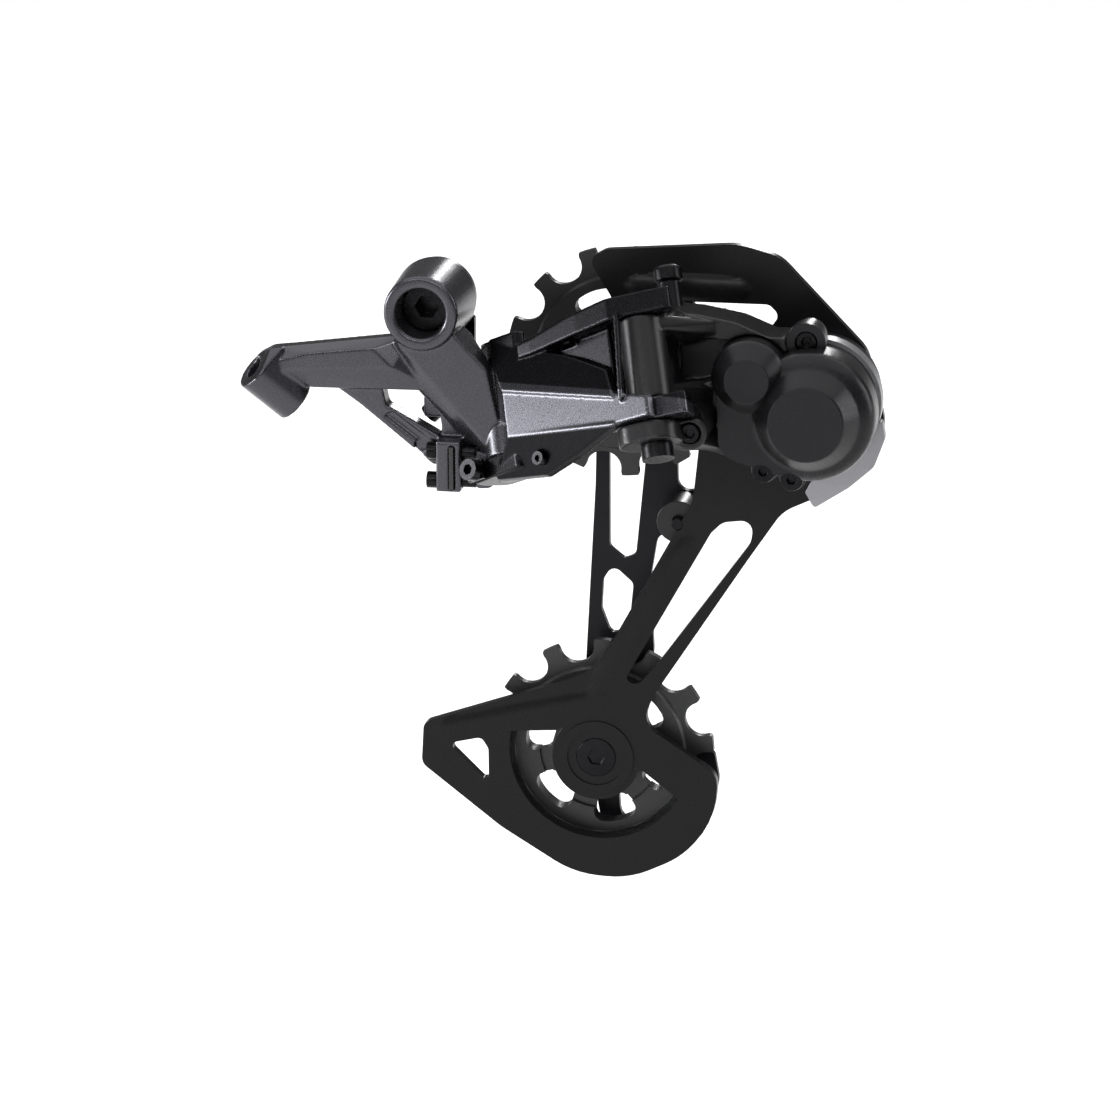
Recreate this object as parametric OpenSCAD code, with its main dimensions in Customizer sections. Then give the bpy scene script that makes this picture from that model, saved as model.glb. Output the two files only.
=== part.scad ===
// Rear bicycle derailleur, long cage, clutch stabilised, drawn at its top-gear rest position.
// +X points to the front of the bicycle, +Y inboard to the wheel, +Z up, all in millimetres.
// The origin is the centre of the hanger bolt on the outboard face of the frame's hanger.

/* [Hanger] */
// Radius of the hanger bolt's thread, M10
hanger_bolt_r = 5; // [4.5:0.5:5]
// Length of thread inside the hanger
hanger_thread = 9; // [7:0.5:10]
// Outboard end of the bracket's boss
boss_face = -22; // [-24:0.5:-21]
// Radius of the bolt's plain shank, inside the bracket
hanger_shank_r = 5.2; // [5.15:0.05:5.3]
// Radius of the bracket's boss at its outboard end
boss_near_r = 8.9; // [8.8:0.1:9.4]
// Radius of the bracket's boss beside the hanger
boss_far_r = 10; // [9.6:0.1:10.2]

/* [Linkage] */
// Distance between the two pivots of a link
link_length = 44; // [43.5:0.5:44.5]
// Angle of the links at rest, from straight ahead
link_angle = -25; // [-26:1:-24]
// Radius of the two outer link pins
outer_pin_r = 2.5; // [2.3:0.1:2.6]
// Radius of the two inner link pins
inner_pin_r = 2.2; // [2:0.1:2.3]
// Radial clearance of a running fit
running_fit = 0.05; // [0.03:0.01:0.08]
// Radial clearance of the open pivot
open_fit = 0.3; // [0.3:0.05:0.4]

/* [Body] */
// Radius of the body's drum
drum_r = 14.3; // [14:0.1:14.5]
// Outboard end of the drum, where the cover sits
cover_seat = -20; // [-20:0.5:-19]
// Radius of the cage's pivot axle
cage_axle_r = 4.5; // [4.2:0.1:4.6]

/* [Cage] */
// Middle plane of the two pulleys
pulley_y = 12; // [12:0.5:12.5]
// Number of teeth on each pulley
pulley_teeth = 13; // [11:1:13]
// Radius to the tooth tips
tooth_tip_r = 28.5; // [28.3:0.1:28.6]
// Radius to the tooth roots
tooth_root_r = 22.9; // [22.7:0.1:23.1]
// Width of the teeth
tooth_w = 2.2; // [2:0.1:2.4]
// Outboard face of the outer plate
outer_plate_y = 4.4; // [4.4:0.1:4.6]
// Thickness of the outer plate
outer_plate_t = 2.6; // [2.4:0.1:2.7]
// Outboard face of the inner plate
inner_plate_y = 17; // [17:0.1:17.4]
// Thickness of the inner plate
inner_plate_t = 2; // [1.8:0.1:2.4]

/* [Hidden] */
$fn = 64;

// ---- places in the side view, [x, z]
guide_c = [43.1, -17.4];
tension_c = [38, -116.7];
cage_c = [92.8, -20.5];
small_drum_c = [78.7, -11.3];
stay_c = [57.7, -56];
ear_c = [91.3, -3.8];
side_screw_c = [66.6, -22.3];
side_screw_y = -37;
lower_ears = [[81.9, -34.8], [88.6, -36.5]];

// ---- link frame: the rear outer pivot, and the tilt of the four pivots
rear_pivot = [18.4, -14, -24.9];
link_tilt = [-27, -13, 0];
front_pivot = link_length * [cos(link_angle), sin(link_angle)];
inner_offset = [1, 12.5];

// levels along the pivots
knuckle = [-11.5, 11];
barrel = [-9.3, 10.4];
inner_rear = [-8.5, 8];
inner_front = [-6.4, 6.9];
upper_front = [10.7, 15.8];
lower_front = [-14.7, -9.6];
upper_rear = [11.3, 15.8];
lower_rear = [-16.6, -11.8];
lower_lug = [-19.6, -15];
barrel_r = 5.4;
knuckle_r = 5.3;
inner_boss_r = 4.4;
lug_gap = 0.3;

plate_in = outer_plate_y + outer_plate_t;
plate_out = outer_plate_y;
axle_end = -26;
lever_y = [-9, -4.4];
bush_wall_y = [-9.3, -4.5];

// ---- drawing helpers
function unit(v) = v / norm(v);
function turn(from, to) = ((to - from + 540) % 360) - 180;

// An outline with rounded corners: each corner is [x, y, radius]
function rounded(corners, steps = 5) = [
    for (i = [0 : len(corners) - 1])
        let (
            n = len(corners),
            p = [corners[i][0], corners[i][1]],
            before = corners[(i + n - 1) % n],
            after = corners[(i + 1) % n],
            u = unit([before[0], before[1]] - p),
            v = unit([after[0], after[1]] - p),
            half = acos(max(-1, min(1, u * v))) / 2,
            r = corners[i][2],
            c = p + unit(u + v) * r / sin(half),
            s = p + u * r / tan(half) - c,
            e = p + v * r / tan(half) - c,
            first = atan2(s[1], s[0]),
            sweep = turn(first, atan2(e[1], e[0]))
        )
        for (k = [0 : steps]) c + r * [cos(first + sweep * k / steps), sin(first + sweep * k / steps)]
];

// Points of an arc, in the side view
function arc(c, r, from, to, steps = 24) = [
    for (k = [0 : steps]) c + r * [cos(from + (to - from) * k / steps), sin(from + (to - from) * k / steps)]
];

// A side-view drawing, given thickness from y[0] to y[1]
module side_plate(y) {
    translate([0, y[1], 0]) rotate([90, 0, 0]) linear_extrude(y[1] - y[0]) children();
}

// A cylinder across the bicycle at the side-view place c
module across(c, r, y) {
    translate([c[0], y[1], c[1]]) rotate([90, 0, 0]) cylinder(r = r, h = y[1] - y[0]);
}

// A turned solid across the bicycle; its profile is [radius, y]
module turned(c, profile) {
    translate([c[0], 0, c[1]]) rotate([90, 0, 0]) rotate_extrude()
        polygon([for (p = profile) [p[0], -p[1]]]);
}

// A ring across the bicycle
module ring_across(c, r_in, r_out, y) {
    difference() {
        across(c, r_out, y);
        across(c, r_in, [y[0] - 1, y[1] + 1]);
    }
}

// The frame of the pivots, and the frame that swings with the links
module pivot_space() {
    translate(rear_pivot) rotate(link_tilt) children();
}
module link_space() {
    pivot_space() rotate([0, 0, link_angle]) children();
}
module at_level(place, r, z) {
    translate([place[0], place[1], z[0]]) cylinder(r = r, h = z[1] - z[0]);
}

// A socket screw along +Z with its head's face at z = 0
module socket_screw(head_r, head_h, shaft_r, length, socket_r) {
    difference() {
        union() {
            cylinder(r = head_r, h = head_h);
            translate([0, 0, head_h - 0.01]) cylinder(r = shaft_r, h = length + 0.01);
        }
        translate([0, 0, -1]) cylinder(r = socket_r, h = 1 + head_h * 0.65, $fn = 6);
    }
}

// A coil spring along +Z, swept as an eight-sided wire
module coil(r, wire_r, height, turns) {
    rings = turns * 20;
    sides = 8;
    pts = [
        for (i = [0 : rings])
            let (a = 360 * i / 20, z = wire_r + (height - 2 * wire_r) * i / rings)
            for (k = [0 : sides - 1])
                let (q = r + wire_r * cos(360 * k / sides))
                [q * cos(a), q * sin(a), z + wire_r * sin(360 * k / sides)]
    ];
    body = [
        for (i = [0 : rings - 1]) for (k = [0 : sides - 1])
            let (a = i * sides + k, b = i * sides + (k + 1) % sides)
            [a, a + sides, b + sides, b]
    ];
    start = [[for (k = [0 : sides - 1]) k]];
    end = [[for (k = [sides - 1 : -1 : 0]) rings * sides + k]];
    polyhedron(pts, concat(body, start, end), convexity = 8);
}

// ---- fixed to the frame's hanger
bolt_head_r = 5.6;
bolt_seat = -9.5;
bush_r = 6.2;
clip_y = [-1, -0.2];
clip_r = [4.6, 6.2];

module hanger_bolt() {
    color("dimgray")
    difference() {
        union() {
            across([0, 0], hanger_bolt_r, [-0.1, hanger_thread]);
            across([0, 0], hanger_shank_r, [bolt_seat, 0]);
            across([0, 0], bolt_head_r, [bolt_seat - 4.5, bolt_seat]);
        }
        translate([0, bolt_seat - 5, 0]) rotate([-90, 0, 0]) cylinder(r = 2.9, h = 5.5, $fn = 6);
        ring_across([0, 0], clip_r[0], clip_r[1], clip_y);
    }
}

module bolt_clip() {
    color("silver") ring_across([0, 0], clip_r[0], clip_r[1], clip_y);
}

// Lug that the B-tension screw pushes against, bent outboard at its foot
tab_foot = [5.8, -21];
module stopper_plate() {
    color("black") {
        difference() {
            side_plate([-2, 0]) {
                circle(r = boss_far_r - 0.6);
                polygon(rounded([[-3, -8, 1], [9.2, -4, 1], [9.2, -12.5, 2], [7.4, -17.6, 1],
                    [8.1, -22, 0.4],
                    [6.8, -23.3, 0.4], [3.5, -20, 0.4], [2.6, -17, 3]]));
            }
            across([0, 0], hanger_shank_r + running_fit, [-3, 1]);
            across([0, 0], clip_r[1] + 0.3, [clip_y[0] - 0.1, 1]);
        }
        translate([tab_foot[0], 0, tab_foot[1]]) rotate([0, -45, 0])
            translate([-1, -8, -2.3]) cube([2, 8, 4.6]);
    }
}

// ---- bracket, which turns about the hanger bolt
stop_axis = [0.66, 0.36, -0.66];
stop_start = [-41.2, -19, -15.4];
b_screw_head = [-1.6, -5, -28.6];
limit_heads = [[1.2, -17.4, -34.2], [1.2, -17.4, -41.4]];
b_head_r = 2.5;
limit_head_r = 2;
pin_clear = 5.6;

module cable_stop(r, from, to) {
    translate(stop_start) rotate([0, 90 - atan2(stop_axis[2], norm([stop_axis[0], stop_axis[1]])),
        atan2(stop_axis[1], stop_axis[0])]) translate([0, 0, from]) cylinder(r = r, h = to - from);
}

module bracket_web() {
    ridge = rounded([[-7, -6.4, 1], [8, -5, 1], [12, -10.5, 2], [17.2, -14.5, 2], [21, -24, 6],
        [21, -33, 3],
        [18.4, -35.4, 1.5], [13.8, -27.6, 2]], 3);
    foot = rounded([[-10, -8, 1], [8, -5, 1], [17.2, -14.5, 2], [21, -24, 6], [20, -37, 3], [12, -34, 1],
        [-4, -17.6, 3]], 3);
    back = rounded([[-8.5, -6, 2], [8, -5, 2], [17, -14, 2], [19, -34, 2], [15.8, -43.6, 1.5],
        [12, -44, 1.5],
        [9, -38, 1], [3, -38.4, 1], [3.6, -29, 1], [2.4, -20.8, 2], [-2, -19, 2]]);
    difference() {
        union() {
            hull() {
                side_plate([-20.6, -20.4]) polygon(ridge);
                side_plate([-16.4, -14]) polygon(foot);
            }
            side_plate([-15, -9.5]) polygon(back);
        }
        pivot_space() {
            difference() {
                translate([0, -30, -30]) cube([40, 60, 60]);
                cylinder(r = pin_clear - 0.2, h = 90, center = true);
            }
            at_level([0, 0], 6.3, [11.1, 30]);
            translate([-0.8, -30, 11.1]) cube([40, 60, 20]);
            at_level([0, 0], 9, [-30, -11.6]);
        }
    }
}

module bracket_arm() {
    hull() {
        side_plate([-20.6, -20.4])
            polygon([[-35, -13], [-27.4, -10.8], [-12, -9], [-7, -13.8], [-34.3, -15.4]]);
        side_plate([-17.4, -13.4])
            polygon(rounded([[-3, -6, 1], [-37.5, -10.6, 2], [-41.5, -12.8, 2], [-40, -19.2, 1],
                [-27, -20, 2], [2, -19.6, 1]], 3));
    }
    hull() {
        cable_stop(5.3, 0.2, 13.4);
        side_plate([-19.6, -14]) polygon([[-37, -10.4], [-34, -10], [-33, -19.4], [-37, -19.4]]);
    }
    side_plate([-16.4, -11.4])
        polygon(rounded([[-12, -17, 1], [-24, -17, 1], [-27, -20, 1.5], [-21.5, -20, 3], [-16, -23.8, 6],
            [2, -38.2, 1], [5.5, -36, 1], [3.2, -30.8, 1], [-9.6, -23.8, 2], [-10.4, -20, 1]]));
}

module bracket_knuckle() {
    pivot_space() {
        at_level([0, 0], knuckle_r, knuckle);
        for (z = [[inner_rear[1] + lug_gap, knuckle[1]], [knuckle[0], inner_rear[0] - lug_gap]])
            hull() {
                at_level([0, 0], knuckle_r, z);
                at_level(inner_offset, 3.9, z);
            }
    }
}

module bracket_body() {
    color("darkslategray")
    difference() {
        union() {
            turned([0, 0], [[0, -2.3], [boss_far_r - 0.5, -2.3], [boss_far_r, -2.9],
                [boss_near_r, boss_face + 0.5], [boss_near_r - 0.5, boss_face], [0, boss_face]]);
            bracket_web();
            bracket_arm();
            bracket_knuckle();
            translate([3.2, -20.4, -43.6]) cube([6, 10.9, 12.4]);
            hull() {
                b_screw_line() cylinder(r = 3.4, h = 3.6);
                translate([-1.6, -11, -27.5]) cube([6, 1, 5]);
            }
        }
        // stepped bore: head pocket, bush seat and O-ring grooves
        across([0, 0], bolt_head_r + 0.3, [boss_face - 1, bolt_seat]);
        across([0, 0], bush_r, [bolt_seat, -1]);
        turned([0, 0], [[0, boss_face - 0.1], [6.6, boss_face - 0.1], [5.6, boss_face + 1],
            [0, boss_face + 1]]);
        // cable housing seat and cable exit
        cable_stop(2.55, -2, 9);
        cable_stop(1.2, 8, 20);
        // screws
        b_screw_line() translate([0, 0, -6]) {
            cylinder(r = 1.5 + running_fit, h = 20);
            cylinder(r = b_head_r + lug_gap, h = 5.9);
        }
        for (p = limit_heads) translate([p[0] - 4, p[1], p[2]]) rotate([0, 90, 0]) {
            cylinder(r = 1.5 + running_fit, h = 16);
            cylinder(r = limit_head_r + lug_gap, h = 5.9);
        }
        translate([6.4, -21, -43]) cube([1.2, 6.4, 10.6]);
        // groove along the lower strut
        side_plate([-18, -15.7]) polygon([[-10.2, -26.2], [-8, -25.2], [1.6, -32.2], [1.4, -34.8]]);
        // pins, and room for the inner link's end
        pivot_space() {
            at_level([0, 0], outer_pin_r, [-30, 30]);
            at_level(inner_offset, inner_pin_r, [-30, 30]);
            at_level(inner_offset, inner_boss_r + 0.6, inner_rear + [-lug_gap, lug_gap]);
        }
    }
}

module b_screw_line() {
    translate(b_screw_head) rotate([0, 45, 0]) translate([0, 0, 3.4]) children();
}

module bracket_bush() {
    color("goldenrod") ring_across([0, 0], hanger_shank_r + running_fit, bush_r, [bolt_seat + 0.2, -3.6]);
}

module bracket_o_rings() {
    color("black") turned_ring([0, 0], (hanger_shank_r + running_fit + bush_r) / 2, 0.45, -3.05);
}

// An O-ring across the bicycle
module turned_ring(c, r, wire_r, y) {
    translate([c[0], y, c[1]]) rotate([90, 0, 0]) rotate_extrude() translate([r, 0])
        circle(r = wire_r, $fn = 24);
}

module outer_rear_pin() {
    color("gray") pivot_space() {
        at_level([0, 0], outer_pin_r, [lower_rear[0] - 0.2, upper_rear[1] + 0.2]);
        at_level([0, 0], outer_pin_r + 0.9, [upper_rear[1] + 0.2, upper_rear[1] + 1]);
    }
}

module inner_rear_pin() {
    color("gray") pivot_space() at_level(inner_offset, inner_pin_r, [knuckle[0] - 0.3, knuckle[1] + 0.2]);
}

module screw_lock_plate() {
    color("silver") difference() {
        translate([6.5, -20.8, -42.9]) cube([1, 6.1, 10.4]);
        for (p = limit_heads) translate([p[0], p[1], p[2]]) rotate([0, 90, 0])
            cylinder(r = 1.5 + running_fit, h = 12);
    }
}

module b_tension_screw() {
    color("black") translate(b_screw_head) rotate([0, 45, 0]) socket_screw(b_head_r, 3.2, 1.5, 6.3, 1.3);
}

module limit_screw(head) {
    color("black") translate([head[0] - 0.6, head[1], head[2]]) rotate([0, 90, 0])
        socket_screw(limit_head_r, 2.4, 1.5, 9.4, 1);
}

module high_limit_screw() {
    limit_screw(limit_heads[0]);
}

module low_limit_screw() {
    limit_screw(limit_heads[1]);
}

// One flat face of the web: a slab under the plane y = face[0] + face[1] x + face[2] z
module panel(face, corners) {
    hull() for (p = corners)
        translate([p[0], face[0] + face[1] * p[0] + face[2] * p[1], p[1]]) rotate([-90, 0, 0])
            cylinder(r1 = 0.3, r2 = 0.7, h = 2.2, $fn = 12);
}

clamp_place = [-5.2, -14];
stop_place = [14.9, -16.2];

main_face = [-9.7, 0.05, 0];
badge_face = [-10.8, 0.11, 0.19];
lower_face = [-13.8, -0.037, -0.517];

module outer_link_body() {
    color("slategray")
    difference() {
        link_space() union() {
            // squared rear eyes
            translate([0, 0, upper_rear[0]]) linear_extrude(upper_rear[1] - upper_rear[0])
                polygon(rounded([[4.8, -7.5, 0.6], [12, -7.4, 1], [13, -4.6, 1], [4.6, 4.4, 3],
                    [-4.4, 4.4, 3], [-4.4, -2, 2.5]]));
            translate([0, 0, lower_rear[0]]) linear_extrude(lower_rear[1] - lower_rear[0])
                polygon(rounded([[-7.4, -4.8, 1], [9, -7.6, 1], [9, -3.4, 1], [4.6, 4.4, 3], [-4.4, 4.4, 3],
                    [-7.4, -1, 1]]));
            // the swept upper arm
            hull() {
                translate([13, -8.4, 8.6]) cube([4, 3.2, 3.2]);
                translate([28, -8, 9.8]) cube([3, 3.6, 4.8]);
            }
            hull() {
                translate([28, -8, 9.8]) cube([3, 3.6, 4.8]);
                at_level([link_length, 0], 4.8, upper_front);
                at_level([link_length - 4, -5.6], 1.8, upper_front);
                at_level([link_length + 8.4, -1.2], 1.6, upper_front);
            }
            // the three faces of the web
            panel(badge_face, [[4.6, 15.6], [5.3, 9], [8, 1.9], [39, -7.8], [37, -0.7],
                [28.1, 4.6], [20.7, 6],
                [15.6, 9.6]]);
            panel(main_face, [[8, 2], [41.6, -8.5], [48, -9.9], [48, -14.1], [38.9, -13.9], [8, -9.2]]);
            panel(lower_face, [[8, -9.3], [38.4, -14.1], [25, -17.4], [14.1, -19.3], [0, -17]]);
            // thin rim in front of the barrel, and the back wall of the pocket
            translate([0, -7.4, 0]) rotate([90, 0, 0]) linear_extrude(1.6)
                polygon([[41.2, -9.4], [42.2, -9.4], [43.9, 11.4], [42.9, 11.4]]);
            translate([15, -3.6, -9]) cube([22, 1.6, 20.4]);
            translate([15, -6, 8.8]) cube([12, 3, 1.6]);
            // lower arm
            hull() {
                translate([34, -7.2, lower_front[0] + 0.2]) cube([3, 4, 4.6]);
                at_level([link_length, 0], 4.8, lower_front);
                at_level([link_length + 9.6, -1.4], 1.6, lower_front);
                at_level([link_length + 8.4, 2.4], 1.4, lower_front);
            }
        }
        link_space() {
            at_level([0, 0], outer_pin_r + running_fit, [-30, 30]);
            at_level([link_length, 0], outer_pin_r + running_fit, [-30, 30]);
            at_level([0, 0], pin_clear, knuckle + [-0.2, 0.2]);
            at_level([link_length, 0], barrel_r + 0.4, barrel + [-lug_gap, lug_gap]);
            translate([stop_place[0], 0, stop_place[1]]) rotate([90, 0, 0]) {
                cylinder(r = 1.2, h = 12);
                translate([0, 0, 6]) cylinder(r = 1.9, h = 6);
            }
            translate([clamp_place[0], 5, clamp_place[1]]) rotate([90, 0, 0]) cylinder(r = 1.5, h = 12);
        }
    }
}

module cable_clamp_bolt() {
    color("silver") link_space() translate([clamp_place[0], -9.5, clamp_place[1]]) rotate([-90, 0, 0])
        socket_screw(2.6, 2.6, 1.5, 7.4, 1.3);
}

module cable_clamp_plate() {
    color("silver") link_space() difference() {
        translate([clamp_place[0] - 2.4, -6.9, clamp_place[1] - 2.4]) cube([4.8, 1, 4.8]);
        translate([clamp_place[0], 0, clamp_place[1]]) rotate([90, 0, 0]) cylinder(r = 1.5, h = 12);
    }
}

module link_stop_screw() {
    color("black") link_space() translate([stop_place[0], -8, stop_place[1]]) rotate([-90, 0, 0])
        socket_screw(1.6, 2, 1.2, 5.4, 0.8);
}

// ---- inner link
module inner_link_body() {
    color("dimgray") difference() {
        pivot_space() translate(inner_offset) rotate([0, 0, link_angle]) {
            at_level([0, 0], inner_boss_r, inner_rear);
            at_level([link_length, 0], inner_boss_r, inner_front);
            translate([0, 2.1, 0]) rotate([90, 0, 0]) linear_extrude(4.2) difference() {
                polygon([[0, inner_rear[0]], [8, inner_rear[0]], [14, inner_rear[0] - 1], [30, -8],
                    [35, inner_front[0]], [link_length, inner_front[0]],
                    [link_length, inner_front[1]], [33, inner_front[1] - 1], [10, inner_rear[1]],
                    [0, inner_rear[1]]]);
                polygon(rounded([[12, -4, 1.5], [31, -3.4, 1.5], [31, 5, 1.5], [12, 3, 1.5]]));
            }
        }
        pivot_space() {
            at_level(inner_offset, inner_pin_r + running_fit, [-30, 30]);
            at_level(inner_offset + front_pivot, inner_pin_r + open_fit, [-30, 30]);
        }
    }
}

// ---- body, carried by the links
module lug(place, r, z) {
    pivot_space() at_level(place, r, z);
}

module body_outline() {
    polygon(rounded([[60.6, -23, 3], [64, -15, 2], [70, -13.5, 2], [73, -6, 2], [79, -4.6, 3], [92, -8, 3],
        [92.8, -34.6, 3], [83, -34.8, 4], [70, -31, 3], [61, -29.8, 2]]));
}

module top_bridge() {
    polygon(rounded([[59, 2.6, 1.5], [66, 2.2, 6], [75, 0.6, 6], [82.6, -2.6, 4], [88, -2.6, 3],
        [90, -8, 1],
        [83, -7.4, 3], [75, -4, 6], [59, -2.6, 1.5]]));
}

module back_wall() {
    polygon(rounded([[56, 1, 2], [75, -0.6, 4], [86, -5, 2], [84, -20, 2], [66, -20, 2], [56, -9, 3]]));
}

inner_front_c = inner_offset + front_pivot;
upper_lug = [inner_front[1] + lug_gap + 0.05, barrel[1]];
under_lug = [barrel[0], inner_front[0] - lug_gap - 0.05];
skirt_end = -16;
spring_space = [-6.5, 7.6];

// Blocks beside the drum, cleared for the cover's skirt and the lever's ring
module body_blocks() {
    difference() {
        union() {
            side_plate([cover_seat, -3]) body_outline();
            side_plate([-21, -9]) top_bridge();
            side_plate([-16, -4]) back_wall();
            across(ear_c, 4, [-15, -10]);
            across(side_screw_c, 4, [side_screw_y, -10]);
            for (c = lower_ears) across(c, 3.2, [-19.4, -11]);
            translate([lower_ears[0][0], -18, -36]) cube([7, 7, 8]);
        }
        across(cage_c, 16.2, [lever_y[0] - 0.3, lever_y[1] + 0.3]);
        across(cage_c, 15.8, [-30, skirt_end]);
        across(small_drum_c, small_cover_r + 0.3, [-30, skirt_end]);
        across(ear_c, 4.7, [-30, -15]);
    }
}

module body_housing() {
    color("dimgray")
    difference() {
        union() {
            across(cage_c, drum_r, [cover_seat, 3.9]);
            across(small_drum_c, 6.6, [cover_seat, lever_y[0] - 0.3]);
            body_blocks();
            // barrel on the outer pin
            lug(front_pivot, barrel_r, barrel);
            // upper and lower lugs that hold the inner pin
            hull() {
                lug(front_pivot, barrel_r - 0.5, upper_lug);
                lug(inner_front_c, 4.6, upper_lug);
                side_plate([-20, -9.4]) polygon([[64, 1.4], [72, 0.4], [72, -2.6], [64, -2.7]]);
            }
            hull() {
                lug(front_pivot, barrel_r - 0.5, under_lug);
                lug(inner_front_c, 4.6, under_lug);
                side_plate([-19, -8]) polygon([[67, -16], [70, -16], [70, -20], [67, -20]]);
            }
            // lower lug under the outer link's arm
            hull() {
                lug(front_pivot, 6, lower_lug);
                lug(front_pivot + [-4, -0.6], 4.6, lower_lug);
                side_plate([-19, -12]) polygon([[68, -27], [72, -27], [72, -30.4], [68, -30.2]]);
            }
        }
        // clutch space outboard, spring space inboard, and the wall with its bush between
        across(cage_c, 12.4, [cover_seat - 1, bush_wall_y[0]]);
        across(small_drum_c, 5, [cover_seat - 1, lever_y[0] - 2]);
        across(cage_c + 12 * unit(small_drum_c - cage_c), 4.2, [cover_seat - 1, lever_y[0] - 2]);
        turned_ring(cage_c, 13.4, 0.5, cover_seat + 0.45);
        across(cage_c, 12.9, [bush_wall_y[1], 5]);
        across(cage_c, 6.2, [-12, 0]);
        // pins, the return spring's space and the inner link's end
        pivot_space() {
            at_level(front_pivot, outer_pin_r, [-30, 30]);
            at_level(front_pivot, 4.2, spring_space);
            at_level(inner_front_c, inner_pin_r, [-30, 30]);
            at_level(inner_front_c, inner_boss_r + 0.6, inner_front + [-lug_gap, lug_gap]);
            at_level(inner_front_c + [-3, -1], 5.5, inner_front + [-lug_gap, lug_gap]);
        }
        // room for the outer link's two ends, and the post's seat
        pivot_space() {
            at_level(front_pivot, 11.8, [lower_lug[1] + 0.05, barrel[0] - 0.05]);
            at_level(front_pivot, 10.5, [barrel[1] + 0.05, upper_front[1] + 0.3]);
            at_level(post_place, post_r, [barrel[1] + 0.5, 40]);
            at_level(post_place, post_stem_r, [barrel[1] - 3, 40]);
        }
        // screws
        across(ear_c, 1.5, [-30, -12]);
        across(side_screw_c, 1.2, [side_screw_y - 1, side_screw_y + 3.8]);
        across(side_screw_c, 2.5, [side_screw_y - 1, side_screw_y + 1.4]);
        for (c = lower_ears) {
            across(c, 1.5, [-30, -12.2]);
            across(c, 3, [-30, -19.4]);
        }
    }
}

cover_step = cover_seat - 6.5;
small_cover_r = 8.8;
module clutch_cover() {
    color([0.16, 0.16, 0.17])
    difference() {
        union() {
            turned(cage_c, [[0, cover_seat - 12], [8.7, cover_seat - 12], [9.1, cover_seat - 11.7],
                [11.6, cover_seat - 8], [12.4, cover_seat - 7], [13.6, cover_seat - 6.4],
                [15, cover_seat - 5],
                [15.5, cover_seat - 3.4], [15.5, skirt_end - 0.3], [0, skirt_end - 0.3]]);
            turned(small_drum_c, [[0, cover_seat - 10], [5.2, cover_seat - 10], [5.5, cover_seat - 9.7],
                [8.2, cover_seat - 6.6], [small_cover_r, cover_seat - 5.6],
                [small_cover_r, skirt_end - 0.3],
                [0, skirt_end - 0.3]]);
            hull() {
                across(small_drum_c, 7.4, [cover_step, cover_seat - 0.1]);
                across([77.2, -26], 5.4, [cover_step, cover_seat - 0.1]);
                across([86, -26], 8, [cover_step, cover_seat - 0.1]);
                across([84, -16], 5, [cover_step, cover_seat - 0.1]);
            }
            across(ear_c, 4.6, [-19.6, -15]);
        }
        across(ear_c, 2.7, [-20, -17.4]);
        across(cage_c, 10.8, [cover_seat - 6.4, cover_seat + 1]);
        across(cage_c, 7.2, [cover_seat - 10.4, cover_seat + 1]);
        across(cage_c, drum_r + running_fit, [cover_seat, -10]);
        across(small_drum_c, 4.4, [cover_seat - 8.4, cover_seat + 1]);
        across(small_drum_c, 6.6 + running_fit, [cover_seat, -10]);
        across(ear_c, 1.5, [-20, -10]);
        for (c = lower_ears) across(c, 3, [-40, -10]);
    }
}

module cover_screws() {
    color("black") {
        translate([ear_c[0], -19.2, ear_c[1]]) rotate([-90, 0, 0]) socket_screw(2.4, 1.8, 1.5, 5.2, 1.2);
        translate([side_screw_c[0], side_screw_y - 0.4, side_screw_c[1]]) rotate([-90, 0, 0])
            socket_screw(2.2, 1.8, 1.2, 2.2, 1.2);
        for (c = lower_ears) translate([c[0], -21.4, c[1]]) rotate([-90, 0, 0])
            socket_screw(2.7, 2, 1.5, 7, 1.2);
    }
}

module cover_gasket() {
    color("black") turned_ring(cage_c, 13.4, 0.45, cover_seat + 0.45);
}

module outer_front_pin() {
    color("gray") pivot_space()
        at_level(front_pivot, outer_pin_r, [lower_lug[0] - 0.4, upper_front[1] + 0.2]);
}

module inner_front_pin() {
    color("gray") pivot_space()
        at_level(inner_offset + front_pivot, inner_pin_r, [barrel[0] - 0.4, barrel[1] + 0.4]);
}

module pin_caps() {
    color("black") pivot_space() difference() {
        union() {
            at_level(front_pivot, 3.8, [lower_lug[0] - 3.6, lower_lug[0]]);
            at_level(inner_offset + front_pivot, 2.6, [barrel[0] - 3, barrel[0]]);
        }
        at_level(front_pivot, outer_pin_r, [lower_lug[0] - 0.4, 0]);
        at_level(inner_offset + front_pivot, inner_pin_r, [barrel[0] - 0.4, 0]);
    }
}

module return_spring() {
    color("silver") pivot_space() translate([front_pivot[0], front_pivot[1], spring_space[0] + 0.6])
        coil(3.4, 0.5, 12.8, 7);
}

// Round-headed post beside the links' outboard end, on a thin stem that clears the inner pin
post_place = front_pivot + [5.1, 13.3];
post_r = 2.7;
post_stem_r = 1.8;
module body_post() {
    stem = 3.5;
    neck = 14.6;
    top = 18.6;
    color("black") pivot_space() translate([post_place[0], post_place[1], barrel[1] - 3])
        rotate_extrude() polygon([[0, 0], [post_stem_r, 0], [post_stem_r, stem], [post_r, stem],
            [post_r, neck],
            [3.5, neck + 0.5], [3.5, top - 0.8], [2.9, top], [0, top]]);
}

// The clutch's clamp points from the cage's axle at the small drum
module clamp_space() {
    aim = small_drum_c - cage_c;
    translate([cage_c[0], cover_seat + 4, cage_c[1]]) rotate([0, atan2(aim[1], -aim[0]), 0]) children();
}

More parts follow.
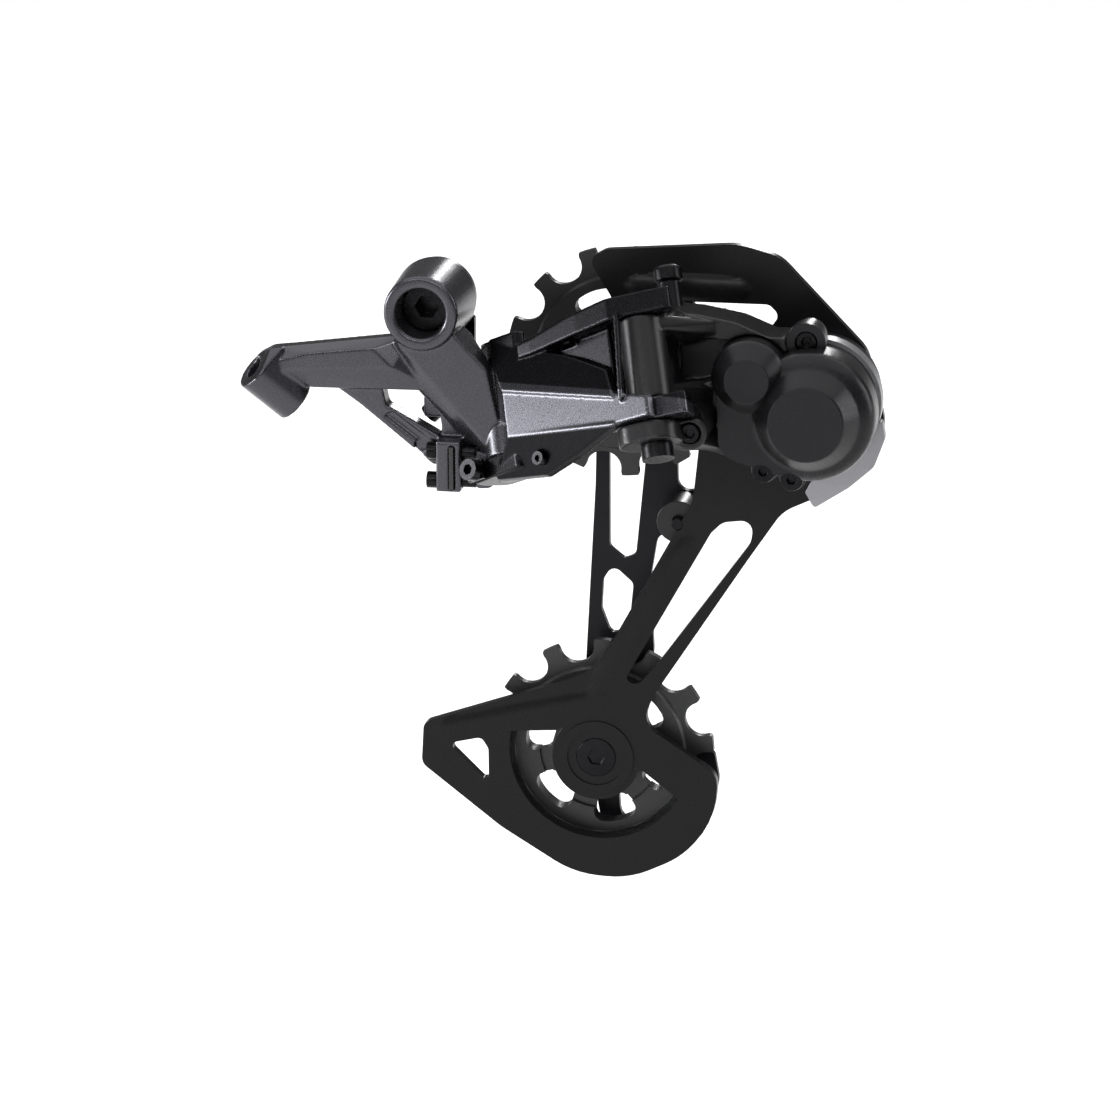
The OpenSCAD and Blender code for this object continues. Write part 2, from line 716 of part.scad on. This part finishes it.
module friction_band() {
    color("silver") difference() {
        union() {
            ring_across(cage_c, band_r, 9.4, [cover_seat + 1, cover_seat + 7]);
            clamp_space() for (z = [-2.2, 1.2]) translate([-13.4, -2.9, z]) cube([4.8, 5.8, 1]);
        }
        clamp_space() {
            translate([-11.6, 0, 0]) cylinder(r = 1, h = 20, center = true);
            translate([-14, -4, -1.2]) cube([7, 8, 2.4]);
        }
        across(cage_c, band_r, [cover_seat, cover_seat + 8]);
    }
}

module friction_screw() {
    color("gray") clamp_space() translate([-11.6, 0, -3]) {
        cylinder(r = 1, h = 5.3);
        translate([0, 0, 5.2]) cylinder(r = 1.6, h = 1.4);
    }
}

module axle_bush() {
    color("goldenrod") ring_across(cage_c, cage_axle_r + running_fit, 6.2, bush_wall_y);
}

module cage_spring() {
    color("silver") translate([cage_c[0], 3.2, cage_c[1]]) rotate([90, 0, 0]) coil(10.6, 0.9, 7.4, 3.5);
}

// ---- clutch switch lever
module clutch_lever() {
    ring_r = drum_r + 0.06;
    color("lightgray") difference() {
        union() {
            across(cage_c, ring_r + 1.1, lever_y);
            side_plate([-8.4, -5.2]) translate(cage_c)
                polygon(rounded([[15.6, -4, 0.5], [16.4, -8.4, 3], [13.9, -15.5, 4], [8, -20.8, 5],
                    [-0.2, -26.2, 0.8], [-2.4, -22.4, 0.8], [-1.1, -19.9, 1], [4, -14, 1], [13, -6, 1]]));
        }
        across(cage_c, ring_r, [-20, 10]);
    }
}

// ---- cage
band_r = 8.26;
crescent_c = [38.9, -115.1];
outer_outline = [
    [-6.2, -120.8, 3], [-5.6, -110, 2.5], [16.3, -102.3, 20], [36.2, -95, 6], [42, -86.4, 8],
    [61.6, -50, 10], [63.4, -32, 6], [48, -27, 4], [40, -25.8, 7], [34.6, -19, 6], [37, -10.6, 5],
    [42.6, -4, 4], [41.2, 0.4, 3], [35.8, 9.2, 2.4], [40, 11.6, 4], [72, 14, 16], [82, 11.4, 10],
    [103.4, -10.6, 10], [108.2, -29, 8], [104, -38, 8], [95, -46, 12], [83.6, -51.4, 10],
    [75, -64.4, 20], [52, -100.4, 6], [49.6, -107.4, 5], [68.4, -119.6, 5], [68.2, -131.4, 22],
    [59.4, -141.8, 22], [46.4, -148.2, 22], [32.6, -147.6, 24], [14, -136.4, 30]
];

module outer_plate_drawing() {
    difference() {
        polygon(rounded(outer_outline));
        // small window in the rear wing
        polygon(rounded([[0.6, -115.2, 1.2], [9, -113.2, 1.6], [10.8, -116, 2], [10.9, -125.2, 1]]));
        // crescent round the tension pulley's bolt
        difference() {
            intersection() {
                translate(crescent_c) circle(r = 22.8);
                polygon(rounded([[12, -111.4, 0.5], [28.4, -110.2, 0.6], [29.2, -109, 0.4], [38, -128, 0.2],
                    [49.4, -119.4, 0.4], [62, -129, 0.4], [62, -142, 1], [12, -142, 1]]));
            }
            translate(tension_c) circle(r = 11);
        }
        // long slot
        polygon(rounded([[66.2, -57.6, 2], [69, -54.8, 4], [76.6, -53.8, 2.6], [76, -59.6, 6],
            [53.4, -91.4, 8],
            [48.4, -97.4, 2.2], [45, -96.4, 1.4], [47.6, -91.6, 6]]));
        top_window();
    }
}

// Window under the plate's top bridge
module top_window() {
    polygon(rounded([[51, -0.4, 2], [79.6, -0.4, 2], [82.2, -3, 2], [79, -7.4, 2], [52, -8.4, 2]]));
}

// A pressed rib on the plate's outboard face, pointed at both ends
module pressed_rib(from, to, half_width, height) {
    span = norm(to - from);
    steps = 8;
    r = (half_width * half_width + height * height) / (2 * height);
    translate([from[0], plate_out + r - height, from[1]])
        rotate([0, -atan2(to[1] - from[1], to[0] - from[0]), 0]) rotate([0, 90, 0]) rotate_extrude()
            polygon(concat([[0, 0]], [for (k = [0 : steps])
                [r - 1.2 * height * pow(abs(2 * k / steps - 1), 5), span * k / steps]], [[0, span]]));
}

module outer_plate() {
    color([0.1, 0.1, 0.1]) difference() {
        union() {
            side_plate([plate_out, plate_in]) outer_plate_drawing();
            ring_across(tension_c, 7.2, 9.4, [plate_out - 0.4, plate_out + 0.4]);
            intersection() {
                union() {
                    pressed_rib([43, 3], [77, 3], 3.6, 1.2);
                    pressed_rib([-6, -113], [43.4, -100.4], 3.6, 0.7);
                    pressed_rib([34, -106.4], [63, -55.6], 3.6, 0.7);
                }
                side_plate([plate_out - 2, plate_out + 1]) offset(delta = -0.3) outer_plate_drawing();
            }
        }
        across(cage_c, cage_axle_r, [0, 10]);
        across(guide_c, 2.5, [0, 10]);
        across(tension_c, 2.5, [0, 10]);
        across(tension_c, 5, [0, plate_out + 0.8]);
        across(stay_c, 1.5, [0, 10]);
    }
}

inner_outline = [
    [33.9, -18, 8], [36, -27, 4], [35.6, -50, 30], [33.2, -98, 10], [29.4, -110, 6], [29, -122, 6],
    [35.4, -126, 2], [37.4, -139, 1], [26, -137, 2], [26, -143, 3], [46, -148.4, 10], [62, -138.4, 20],
    [67.4, -126, 8], [65.8, -117.4, 1.6], [60.6, -118.6, 2], [60.6, -125, 8], [56, -133, 12],
    [42.4, -140, 4], [41.6, -126, 2], [47, -121, 6], [48, -112, 8], [50.4, -92, 10], [49.4, -74, 20],
    [51.4, -61, 3], [57, -62.4, 5], [64, -57, 4], [62.4, -50, 2.4], [56.2, -51.2, 2.8], [56, -44, 3],
    [52.4, -22, 8], [50, -9, 8], [36.6, -9, 8]
];

module inner_plate() {
    color([0.12, 0.12, 0.12]) difference() {
        side_plate([inner_plate_y, inner_plate_y + inner_plate_t]) difference() {
            polygon(rounded(inner_outline));
            polygon(rounded([[39, -33, 3], [49, -33, 3], [45.8, -67.6, 2.4], [43, -68.8, 1],
                [39.2, -65.8, 2]]));
            polygon(rounded([[37.6, -74.4, 2], [40, -70.4, 2], [45.2, -75, 2], [44.4, -83.6, 3],
                [40.2, -89.8, 1.6], [37.2, -82, 4]]));
        }
        across(guide_c, 2.1, [15, 20]);
        across(tension_c, 2.1, [15, 20]);
        across(stay_c, 1.5, [15, 20]);
    }
}

module cage_axle() {
    color("silver") difference() {
        union() {
            across(cage_c, cage_axle_r, [axle_end, plate_in]);
            across(cage_c, cage_axle_r + 1.6, [3, plate_out]);
        }
        across(cage_c, 1.5, [axle_end - 1, axle_end + 8]);
    }
}

module roller_clutch() {
    color("gray") ring_across(cage_c, cage_axle_r, 8.2, [cover_seat + 0.6, cover_seat + 7.6]);
}

module axle_screw() {
    color("black") translate([cage_c[0], axle_end - 2, cage_c[1]]) rotate([-90, 0, 0])
        socket_screw(5.6, 2, 1.5, 7.6, 1.4);
}

module guide_pulley_bolt() {
    color("black") {
        translate([guide_c[0], plate_out - 1.6, guide_c[1]]) rotate([-90, 0, 0])
            socket_screw(3.6, 1.6, 2.5, inner_plate_y - plate_out, 1.5);
        across(guide_c, 2.1, [inner_plate_y - 0.01, inner_plate_y + inner_plate_t]);
    }
}

module tension_pulley_bolt() {
    color("black") {
        translate([tension_c[0], plate_out - 0.2, tension_c[1]]) rotate([-90, 0, 0])
            socket_screw(4.9, 1, 2.5, inner_plate_y - plate_out - 0.8, 2.1);
        across(tension_c, 2.1, [inner_plate_y - 0.01, inner_plate_y + inner_plate_t]);
    }
}

module plate_stay() {
    color("gray") ring_across(stay_c, 1.5, 5.3, [plate_in, inner_plate_y]);
}

module stay_screw() {
    color("black") translate([stay_c[0], inner_plate_y + inner_plate_t + 1.6, stay_c[1]]) rotate([90, 0, 0])
        socket_screw(2.8, 1.6, 1.5, inner_plate_y + inner_plate_t - plate_out - 0.4, 1.2);
}

module cage_stop_pin() {
    color("silver") across(cage_c + 17.4 * [cos(236), sin(236)], 1.6, [1, plate_out]);
}

module guide_bush() {
    color("silver") ring_across(guide_c, 2.5, 5, [plate_in + 0.3, inner_plate_y - 0.3]);
}

module dust_cap(c) {
    for (y = [[plate_in, plate_in + 0.9], [inner_plate_y - 0.9, inner_plate_y]])
        ring_across(c, 2.5, 8.6, y);
}

module guide_caps() {
    color("black") difference() {
        dust_cap(guide_c);
        across(guide_c, 5, [plate_in + 0.3, inner_plate_y - 0.3]);
    }
}

module tension_caps() {
    color("black") difference() {
        dust_cap(tension_c);
        across(tension_c, 4.2, [plate_in + 0.3, inner_plate_y - 0.3]);
    }
}

module bearing_inner_race() {
    color("silver") difference() {
        ring_across(tension_c, 2.5, 4.2, [plate_in + 0.3, inner_plate_y - 0.3]);
        turned_ring(tension_c, ball_track_r, ball_r + 0.3, pulley_y);
    }
}

// ---- pulleys
ball_track_r = 5.4;
ball_r = 1.1;
tooth_pitch = 360 / pulley_teeth;
gap_r = 4.4;
gap_mouth = 5.7;

// Toothed outline: a disc with one rounded gap between each pair of teeth
module toothed_disc() {
    difference() {
        circle(r = tooth_tip_r);
        for (k = [0 : pulley_teeth - 1]) rotate((k + 0.5) * tooth_pitch)
            polygon(rounded([[tooth_root_r, -gap_r, gap_r - 0.2], [tooth_root_r + gap_r, -gap_r, 1.5],
                [tooth_tip_r + 1, -gap_mouth, 0.1], [tooth_tip_r + 1, gap_mouth, 0.1],
                [tooth_root_r + gap_r, gap_r, 1.5], [tooth_root_r, gap_r, gap_r - 0.2]], 7));
    }
}

module pulley(c, tooth_turn, spoke_turn, hub_bore) {
    rim_r = 19.6;
    translate([c[0], pulley_y, c[1]]) rotate([90, 0, 0]) difference() {
        union() {
            rotate([0, 0, tooth_turn]) linear_extrude(tooth_w, center = true) toothed_disc();
            // rim and hub stand proud of the teeth
            rotate_extrude() polygon([[rim_r - 4.4, -2], [rim_r - 3.6, -2.2], [rim_r + 1.6, -2.2],
                [rim_r + 2.2, -1.2], [rim_r + 2.2, 1.2], [rim_r + 1.6, 2.2], [rim_r - 3.6, 2.2],
                [rim_r - 4.4, 2]]);
            cylinder(r = 13.2, h = 4, center = true);
            cylinder(r = 10, h = 6.4, center = true);
        }
        for (k = [0 : 5]) rotate([0, 0, 60 * k + spoke_turn + 30]) linear_extrude(10, center = true)
            polygon(rounded([[11.9, -3.4, 2], [17.6, -6.6, 2.4], [19.2, 0, 12], [17.6, 6.6, 2.4],
                [11.9, 3.4, 2]], 4));
        cylinder(r = hub_bore, h = 20, center = true);
    }
}

module guide_pulley() {
    color([0.08, 0.08, 0.08]) pulley(guide_c, -2.6, 23, 5 + running_fit);
}

module tension_pulley() {
    color([0.08, 0.08, 0.08]) pulley(tension_c, 6, 14, 8);
}

module bearing_outer_race() {
    color("silver") difference() {
        ring_across(tension_c, 6.6, 7.98, [pulley_y - 3, pulley_y + 3]);
        turned_ring(tension_c, ball_track_r, ball_r + 0.3, pulley_y);
    }
}

module bearing_balls() {
    color("silver") {
        for (k = [0 : 8]) translate([tension_c[0] + ball_track_r * cos(40 * k), pulley_y,
            tension_c[1] + ball_track_r * sin(40 * k)]) sphere(r = ball_r, $fn = 24);
    }
}

hanger_bolt();
stopper_plate();
bolt_clip();
bracket_body();
bracket_bush();
bracket_o_rings();
outer_rear_pin();
inner_rear_pin();
screw_lock_plate();
b_tension_screw();
high_limit_screw();
low_limit_screw();
outer_link_body();
cable_clamp_bolt();
cable_clamp_plate();
link_stop_screw();
inner_link_body();
body_housing();
clutch_cover();
cover_screws();
cover_gasket();
outer_front_pin();
inner_front_pin();
return_spring();
body_post();
friction_band();
friction_screw();
axle_bush();
cage_spring();
pin_caps();
clutch_lever();
outer_plate();
inner_plate();
cage_axle();
roller_clutch();
axle_screw();
guide_pulley_bolt();
tension_pulley_bolt();
plate_stay();
stay_screw();
cage_stop_pin();
guide_bush();
guide_caps();
tension_caps();
bearing_inner_race();
guide_pulley();
tension_pulley();
bearing_outer_race();
bearing_balls();
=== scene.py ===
import math

import bmesh
import bpy
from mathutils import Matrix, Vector


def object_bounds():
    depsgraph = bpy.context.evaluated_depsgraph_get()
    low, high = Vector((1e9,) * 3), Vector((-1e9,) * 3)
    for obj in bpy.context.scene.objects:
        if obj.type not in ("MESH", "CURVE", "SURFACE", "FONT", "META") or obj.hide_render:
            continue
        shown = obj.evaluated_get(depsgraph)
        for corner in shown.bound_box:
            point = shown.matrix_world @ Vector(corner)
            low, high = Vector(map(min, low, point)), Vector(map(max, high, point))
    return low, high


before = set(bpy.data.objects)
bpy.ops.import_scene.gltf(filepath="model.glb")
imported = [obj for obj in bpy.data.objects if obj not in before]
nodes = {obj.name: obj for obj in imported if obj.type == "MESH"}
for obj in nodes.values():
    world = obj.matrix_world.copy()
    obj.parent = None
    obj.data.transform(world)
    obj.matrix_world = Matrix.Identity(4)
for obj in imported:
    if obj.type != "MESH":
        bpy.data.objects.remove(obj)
cad_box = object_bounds()


# ---------------------------------------------------------------- materials
def new_material(name):
    mat = bpy.data.materials.new(name)
    mat.use_nodes = True
    tree = mat.node_tree
    tree.nodes.clear()
    out = tree.nodes.new("ShaderNodeOutputMaterial")
    bsdf = tree.nodes.new("ShaderNodeBsdfPrincipled")
    tree.links.new(bsdf.outputs[0], out.inputs[0])
    coord = tree.nodes.new("ShaderNodeTexCoord")
    return mat, tree, bsdf, coord.outputs["Object"]


def noise(tree, vector, scale, detail=3.0, rough=0.55):
    n = tree.nodes.new("ShaderNodeTexNoise")
    n.inputs["Scale"].default_value = scale
    n.inputs["Detail"].default_value = detail
    n.inputs["Roughness"].default_value = rough
    tree.links.new(vector, n.inputs["Vector"])
    return n.outputs["Fac"]


def ramp(tree, fac, stops):
    r = tree.nodes.new("ShaderNodeValToRGB")
    els = r.color_ramp.elements
    while len(els) < len(stops):
        els.new(0.5)
    for el, (pos, col) in zip(els, stops):
        el.position = pos
        el.color = (*col, 1.0)
    tree.links.new(fac, r.inputs[0])
    return r.outputs[0]


def span(tree, fac, low, high, a=0.3, b=0.7):
    """Maps a..b to low..high. A noise texture's values lie mostly within 0.3 to 0.7."""
    m = tree.nodes.new("ShaderNodeMapRange")
    m.inputs["From Min"].default_value = a
    m.inputs["From Max"].default_value = b
    m.inputs["To Min"].default_value = low
    m.inputs["To Max"].default_value = high
    tree.links.new(fac, m.inputs["Value"])
    return m.outputs[0]


def bump(tree, bsdf, height, strength, distance):
    b = tree.nodes.new("ShaderNodeBump")
    b.inputs["Strength"].default_value = strength
    b.inputs["Distance"].default_value = distance
    tree.links.new(height, b.inputs["Height"])
    tree.links.new(b.outputs[0], bsdf.inputs["Normal"])


def scaled(c, k):
    return tuple(x * k for x in c)


CLOUD_SCALE = 45.0
CLOUD_VARY = 0.07
COAT_ROUGHNESS = 0.25
FINE_DEPTH = 0.00001


def coated(name, color, metallic, rough, grain=2600.0, depth=FINE_DEPTH, coat=0.0, gloss=0.5,
           flake=0.18):
    """Satin paint or anodising: fine grain, slow cloudiness, tiny bright flakes."""
    mat, tree, bsdf, vec = new_material(name)
    cloud = noise(tree, vec, CLOUD_SCALE, 3.0)
    fine = noise(tree, vec, grain, 2.0, 0.6)
    col = ramp(tree, cloud, [(0.3, scaled(color, 1 - CLOUD_VARY)),
                             (0.7, scaled(color, 1 + CLOUD_VARY))])
    flakes = ramp(tree, fine, [(0.52, (0, 0, 0)), (0.72, scaled(color, 0.9))])
    mix = tree.nodes.new("ShaderNodeMix")
    mix.data_type = "RGBA"
    mix.blend_type = "ADD"
    mix.inputs["Factor"].default_value = flake
    tree.links.new(col, mix.inputs["A"])
    tree.links.new(flakes, mix.inputs["B"])
    tree.links.new(mix.outputs["Result"], bsdf.inputs["Base Color"])
    bsdf.inputs["Metallic"].default_value = metallic
    tree.links.new(span(tree, fine, rough - 0.05, rough + 0.07), bsdf.inputs["Roughness"])
    bsdf.inputs["Specular IOR Level"].default_value = gloss
    bsdf.inputs["Coat Weight"].default_value = coat
    bsdf.inputs["Coat Roughness"].default_value = COAT_ROUGHNESS
    bump(tree, bsdf, fine, 0.35, depth)
    return mat


RIDGE_BLEND = (-0.0001, 0.0002)


def painted_shade_outside(mat, planes, dark):
    """Paints shade: darkens a material's colour outside the slab between planes, each a point in
    metres and a normal.
    """
    tree = mat.node_tree
    bsdf = next(n for n in tree.nodes if n.type == "BSDF_PRINCIPLED")
    coord = next(n for n in tree.nodes if n.type == "TEX_COORD").outputs["Object"]
    factor = None
    for point, normal in planes:
        shift = tree.nodes.new("ShaderNodeVectorMath")
        shift.operation = "SUBTRACT"
        shift.inputs[1].default_value = point
        tree.links.new(coord, shift.inputs[0])
        dot = tree.nodes.new("ShaderNodeVectorMath")
        dot.operation = "DOT_PRODUCT"
        dot.inputs[1].default_value = normal
        tree.links.new(shift.outputs[0], dot.inputs[0])
        side = span(tree, dot.outputs["Value"], dark, 1.0, *RIDGE_BLEND)
        if factor is None:
            factor = side
        else:
            least = tree.nodes.new("ShaderNodeMath")
            least.operation = "MINIMUM"
            tree.links.new(factor, least.inputs[0])
            tree.links.new(side, least.inputs[1])
            factor = least.outputs[0]
    shade = tree.nodes.new("ShaderNodeVectorMath")
    shade.operation = "SCALE"
    tree.links.new(bsdf.inputs["Base Color"].links[0].from_socket, shade.inputs[0])
    tree.links.new(factor, shade.inputs["Scale"])
    tree.links.new(shade.outputs[0], bsdf.inputs["Base Color"])


STREAK_STRETCH = (1, 12, 1)
STREAK_SCALE = 900.0
TARNISH_SCALE = 90.0


def machined(name, color, rough):
    """Turned or brushed metal: streaks along one way and light tarnish."""
    mat, tree, bsdf, vec = new_material(name)
    m = tree.nodes.new("ShaderNodeMapping")
    m.inputs["Scale"].default_value = STREAK_STRETCH
    tree.links.new(vec, m.inputs["Vector"])
    streak = noise(tree, m.outputs[0], STREAK_SCALE, 3.0)
    cloud = noise(tree, vec, TARNISH_SCALE, 3.0)
    col = ramp(tree, cloud, [(0.3, scaled(color, 0.82)), (0.7, scaled(color, 1.1))])
    tree.links.new(col, bsdf.inputs["Base Color"])
    bsdf.inputs["Metallic"].default_value = 1.0
    tree.links.new(span(tree, streak, rough - 0.08, rough + 0.1), bsdf.inputs["Roughness"])
    bump(tree, bsdf, streak, 0.3, FINE_DEPTH)
    return mat


FLOW_SCALE = 30.0
MOULD_DEPTH = 0.00002
MOULD_GLOSS = 0.4


def moulded(name, color, rough, grain=1500.0):
    """Moulded plastic or rubber: a fine surface grain and slight flow marks."""
    mat, tree, bsdf, vec = new_material(name)
    flow = noise(tree, vec, FLOW_SCALE, 4.0)
    fine = noise(tree, vec, grain, 3.0)
    col = ramp(tree, flow, [(0.25, scaled(color, 0.8)), (0.75, scaled(color, 1.25))])
    tree.links.new(col, bsdf.inputs["Base Color"])
    tree.links.new(span(tree, fine, rough - 0.06, rough + 0.08), bsdf.inputs["Roughness"])
    bsdf.inputs["Specular IOR Level"].default_value = MOULD_GLOSS
    bump(tree, bsdf, fine, 0.45, MOULD_DEPTH)
    return mat


# base colours were tuned to the photograph's brightness under this stage's lights, not measured
grey_paint = coated("grey_paint", (0.05, 0.05, 0.057), 0.85, 0.27, grain=3200.0, coat=0.06,
                    gloss=0.4, flake=0.26)
link_paint_and_shade = coated("link_paint_and_shade", (0.052, 0.052, 0.059), 0.9, 0.26, grain=3600.0, depth=0.000006,
                    gloss=0.3, flake=0.1)
# a guess: the photograph shows the outer link's face between two ridges lighter than its other
# faces, most likely from the light alone; here that is painted shade, the colour darkened outside
# that face
upper_ridge = ((0.03402, -0.03013, -0.01402), (-0.1185, -0.4083, -0.9051))
lower_ridge = ((0.03464, -0.03449, -0.02422), (-0.1657, 0.1837, 0.9689))
# level of the painted shade: the colour outside the two ridges is scaled by this
LINK_PAINTED_SHADE = 0.18
# painted shade: the outer link's colour is darkened outside the slab between the two ridges
painted_shade_outside(link_paint_and_shade, (upper_ridge, lower_ridge), LINK_PAINTED_SHADE)
body_paint = coated("body_paint", (0.014, 0.014, 0.015), 0.55, 0.32, gloss=0.35)
plate_paint = coated("plate_paint", (0.006, 0.006, 0.0065), 0.3, 0.3, grain=3400.0, depth=0.000006,
                     gloss=0.15)
inner_paint = coated("inner_paint", (0.006, 0.006, 0.0075), 0.3, 0.38, gloss=0.15)
cap_paint = coated("cap_paint", (0.004, 0.004, 0.0045), 0.3, 0.4, gloss=0.1)
cover_plastic = coated("cover_plastic", (0.009, 0.009, 0.0102), 0.5, 0.32, grain=1800.0,
                       gloss=0.28)
lever_paint = coated("lever_paint", (0.21, 0.21, 0.222), 0.7, 0.36)
pulley_plastic = moulded("pulley_plastic", (0.008, 0.008, 0.0085), 0.42)
dark_plastic = moulded("dark_plastic", (0.012, 0.012, 0.012), 0.5)
black_steel = machined("black_steel", (0.013, 0.013, 0.014), 0.3)
steel = machined("steel", (0.5, 0.5, 0.51), 0.3)
pin_steel = machined("pin_steel", (0.16, 0.16, 0.165), 0.34)
race_steel = machined("race_steel", (0.55, 0.55, 0.56), 0.2)
bronze = machined("bronze", (0.45, 0.31, 0.15), 0.42)
rubber = moulded("rubber", (0.02, 0.02, 0.02), 0.65, grain=900.0)

finish = {
    "hanger_bolt": black_steel, "stopper_plate": black_steel, "bolt_clip": steel,
    "bracket_body": grey_paint, "bracket_bush": bronze, "bracket_o_rings": rubber,
    "outer_rear_pin": pin_steel, "inner_rear_pin": pin_steel, "screw_lock_plate": dark_plastic,
    "b_tension_screw": black_steel, "high_limit_screw": black_steel, "low_limit_screw": black_steel,
    "outer_link_body": link_paint_and_shade, "cable_clamp_bolt": black_steel, "cable_clamp_plate": black_steel,
    "link_stop_screw": black_steel, "inner_link_body": inner_paint,
    "body_housing": body_paint, "clutch_cover": cover_plastic, "cover_screws": black_steel,
    "cover_gasket": rubber, "outer_front_pin": pin_steel, "inner_front_pin": pin_steel,
    "return_spring": steel, "body_post": black_steel, "friction_band": steel,
    "friction_screw": steel, "axle_bush": bronze, "cage_spring": steel, "pin_caps": black_steel,
    "clutch_lever": lever_paint,
    "outer_plate": plate_paint, "inner_plate": inner_paint, "cage_axle": black_steel,
    "roller_clutch": steel, "axle_screw": steel, "guide_pulley_bolt": black_steel,
    "tension_pulley_bolt": black_steel, "plate_stay": body_paint, "stay_screw": black_steel,
    "cage_stop_pin": steel, "guide_bush": steel, "guide_caps": cap_paint,
    "tension_caps": cap_paint, "bearing_inner_race": race_steel,
    "guide_pulley": pulley_plastic, "tension_pulley": pulley_plastic,
    "bearing_outer_race": race_steel, "bearing_balls": race_steel,
}
for name, obj in nodes.items():
    obj.data.materials.clear()
    obj.data.materials.append(finish[name])
    for p in obj.data.polygons:
        p.use_smooth = True


# ---------------------------------------------------------------- edge softening
WELD_DISTANCE = 1e-6
COPLANAR_DEG = 0.6
SHARP_DEG = 30.0


def weld(obj):
    w = obj.modifiers.new("weld", "WELD")
    w.merge_threshold = WELD_DISTANCE


def soften(name, width, segments=2):
    """Rounds a machined, pressed or moulded piece's sharp edges with a narrow bevel."""
    obj = nodes[name]
    weld(obj)
    d = obj.modifiers.new("planes", "DECIMATE")
    d.decimate_type = "DISSOLVE"
    d.angle_limit = math.radians(COPLANAR_DEG)
    b = obj.modifiers.new("edges", "BEVEL")
    b.width = width
    b.segments = segments
    b.limit_method = "ANGLE"
    b.angle_limit = math.radians(SHARP_DEG)
    b.miter_outer = "MITER_ARC"
    b.harden_normals = False
    n = obj.modifiers.new("shade", "WEIGHTED_NORMAL")
    n.keep_sharp = False
    n.weight = 80


def cast(name, voxel, passes):
    """Melts a casting's edges into small fillets: a voxel skin, then smoothing passes."""
    obj = nodes[name]
    weld(obj)
    r = obj.modifiers.new("skin", "REMESH")
    r.mode = "VOXEL"
    r.voxel_size = voxel
    r.use_smooth_shade = True
    s = obj.modifiers.new("fillets", "SMOOTH")
    s.factor = 0.5
    s.iterations = passes


cast("bracket_body", 0.00028, 8)
cast("outer_link_body", 0.00026, 6)
cast("body_housing", 0.0003, 8)
for name in ("outer_plate", "inner_plate", "clutch_lever"):
    soften(name, 0.0004, segments=3)
soften("clutch_cover", 0.00018)
for name in ("hanger_bolt", "stopper_plate", "b_tension_screw", "high_limit_screw",
             "low_limit_screw", "cable_clamp_bolt", "cable_clamp_plate", "link_stop_screw",
             "inner_link_body", "cover_screws", "body_post", "pin_caps", "guide_pulley_bolt",
             "tension_pulley_bolt", "plate_stay", "stay_screw", "guide_caps", "tension_caps",
             "screw_lock_plate"):
    soften(name, 0.0002)
for name in ("guide_pulley", "tension_pulley"):
    soften(name, 0.0003)

# ---------------------------------------------------------------- stage, camera, light
scene = bpy.context.scene
# the photograph's view, as estimated
AZIMUTH = math.radians(10)
ELEVATION = math.radians(16)
TARGET = (0.0297, 0.0, -0.0650)
PIXELS_PER_MM = 4.1
PHOTO_PIXELS = 1120.0
DISTANCE_MM = 1000.0
SENSOR_MM = 36.0
back = Vector((math.sin(AZIMUTH) * math.cos(ELEVATION),
               -math.cos(AZIMUTH) * math.cos(ELEVATION),
               math.sin(ELEVATION)))
cam_data = bpy.data.cameras.new("camera")
cam = bpy.data.objects.new("camera", cam_data)
scene.collection.objects.link(cam)
cam.location = Vector(TARGET) + back * (DISTANCE_MM / 1000.0)
cam.rotation_mode = "QUATERNION"
cam.rotation_quaternion = back.to_track_quat("Z", "Y")
cam_data.sensor_width = SENSOR_MM
cam_data.lens = SENSOR_MM * PIXELS_PER_MM * DISTANCE_MM / PHOTO_PIXELS
cam_data.clip_start = 0.01
cam_data.clip_end = 50.0
scene.camera = cam

# the part hangs from its mount, and over its poses the cage reaches about 48 mm lower than
# at rest
FLOOR_GAP = 0.055
FLOOR_HALF = 12.0
floor_mesh = bpy.data.meshes.new("floor")
bm = bmesh.new()
bmesh.ops.create_grid(bm, x_segments=1, y_segments=1, size=FLOOR_HALF)
bm.to_mesh(floor_mesh)
bm.free()
floor = bpy.data.objects.new("floor", floor_mesh)
floor.location = (0, 0, cad_box[0].z - FLOOR_GAP)
scene.collection.objects.link(floor)
floor_mat, _, floor_bsdf, _ = new_material("floor")
floor_bsdf.inputs["Base Color"].default_value = (0.93, 0.93, 0.93, 1)
floor_bsdf.inputs["Roughness"].default_value = 0.9
floor_mesh.materials.append(floor_mat)


def softbox(name, place, size, power, aim=(0.03, -0.01, -0.03)):
    """A white rectangular area light, in watts, that faces the point it aims at."""
    data = bpy.data.lights.new(name, "AREA")
    data.shape = "RECTANGLE"
    data.size, data.size_y = size
    data.energy = power
    obj = bpy.data.objects.new(name, data)
    obj.location = place
    obj.rotation_mode = "QUATERNION"
    obj.rotation_quaternion = (Vector(place) - Vector(aim)).to_track_quat("Z", "Y")
    scene.collection.objects.link(obj)


softbox("key_top", (0.0, 0.6, 3.2), (7.0, 7.0), 270.0, aim=(0.0, 0.6, 0.0))
softbox("back_panel", (0.06, 1.3, 0.42), (0.16, 0.3), 2.6)
softbox("left", (-1.05, -0.48, 0.1), (0.7, 0.24), 18.0)
softbox("front_fill", (0.3, -1.4, 0.5), (0.7, 0.5), 1.6)
softbox("front_high", (-0.1, -1.1, 0.55), (1.0, 0.14), 5.0)
softbox("right_rim", (0.9, 0.1, 0.2), (0.3, 0.6), 3.5)

world = bpy.data.worlds.new("world")
scene.world = world
world.use_nodes = True
background = world.node_tree.nodes["Background"]
background.inputs["Color"].default_value = (1, 1, 1, 1)
background.inputs["Strength"].default_value = 0.12
scene.view_settings.view_transform = "Standard"
scene.view_settings.look = "None"
